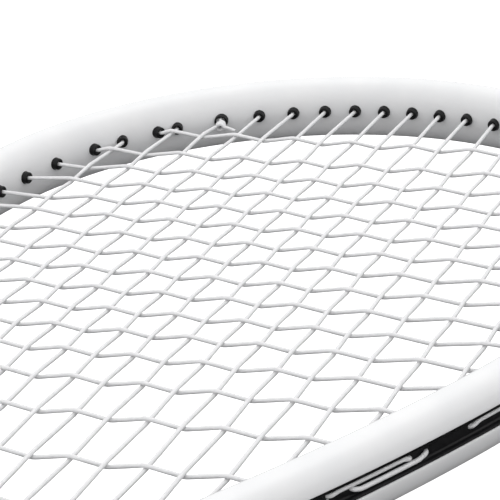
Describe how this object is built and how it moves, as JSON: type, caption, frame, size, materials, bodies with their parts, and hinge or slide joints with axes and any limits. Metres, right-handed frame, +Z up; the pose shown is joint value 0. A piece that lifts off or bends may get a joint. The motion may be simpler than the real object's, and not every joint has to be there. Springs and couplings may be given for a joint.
{
  "type": "squash racket",
  "caption": "Strung squash racket: white teardrop head with a throat bridge, woven string bed in black grommet strips, slim shaft and a wrapped eight-sided grip.",
  "frame": {"origin": "middle of the footprint of the racket lying flat, on the plane that it lies on", "axes": "+Y from the butt to the tip, +X across the head, +Z up, square to the strings"},
  "size_m": [0.215, 0.686, 0.032],
  "materials": {
    "frame_lacquer": "high-gloss white lacquer over a carbon-fibre moulding",
    "black_nylon": "satin moulded nylon",
    "white_string": "satin multifilament nylon",
    "pallet_foam": "moulded foam skin",
    "grip_wrap": "matt perforated polyurethane wrap",
    "tape": "matt adhesive tape",
    "collar_rubber": "satin rubber",
    "cap_plastic": "satin moulded plastic",
    "staple_wire": "zinc-plated wire"
  },
  "bodies": {
    "root": {"racket_frame": "frame_lacquer", "throat_bridge": "frame_lacquer", "head_bumper": "black_nylon", "grommet_strip_right": "black_nylon", "grommet_strip_left": "black_nylon", "bridge_grommet_strip": "black_nylon", "main_string": "white_string", "cross_string": "white_string", "handle_pallet": "pallet_foam", "base_grip": "grip_wrap", "finishing_tape": "tape", "grip_collar": "collar_rubber", "butt_cap": "cap_plastic", "cap_staples": "staple_wire"}
  },
  "joints": []
}
